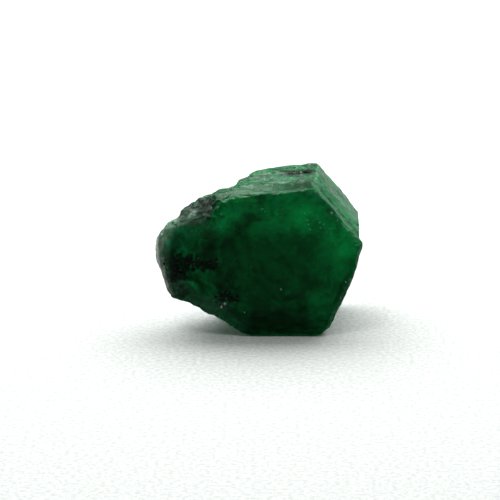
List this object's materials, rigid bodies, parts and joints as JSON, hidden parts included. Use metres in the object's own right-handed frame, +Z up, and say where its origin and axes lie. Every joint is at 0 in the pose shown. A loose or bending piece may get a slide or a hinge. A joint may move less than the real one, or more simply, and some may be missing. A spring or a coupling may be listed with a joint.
{
  "type": "raw emerald crystal",
  "caption": "Stubby raw emerald crystal lying on a prism face, with growth ledges, a flat basal face and broken ends.",
  "frame": {"origin": "on the floor, under the middle of the crystal's box", "axes": "+Z up; the crystal's c-axis runs along Y, with the flat basal face towards -Y and the broken end towards +Y; +X is towards the sharp corner between two prism faces"},
  "size_m": [0.014, 0.0087, 0.0106],
  "materials": {
    "emerald": "translucent green crystal, glassy to frosted"
  },
  "bodies": {
    "root": {"emerald_crystal": "emerald"}
  },
  "joints": []
}
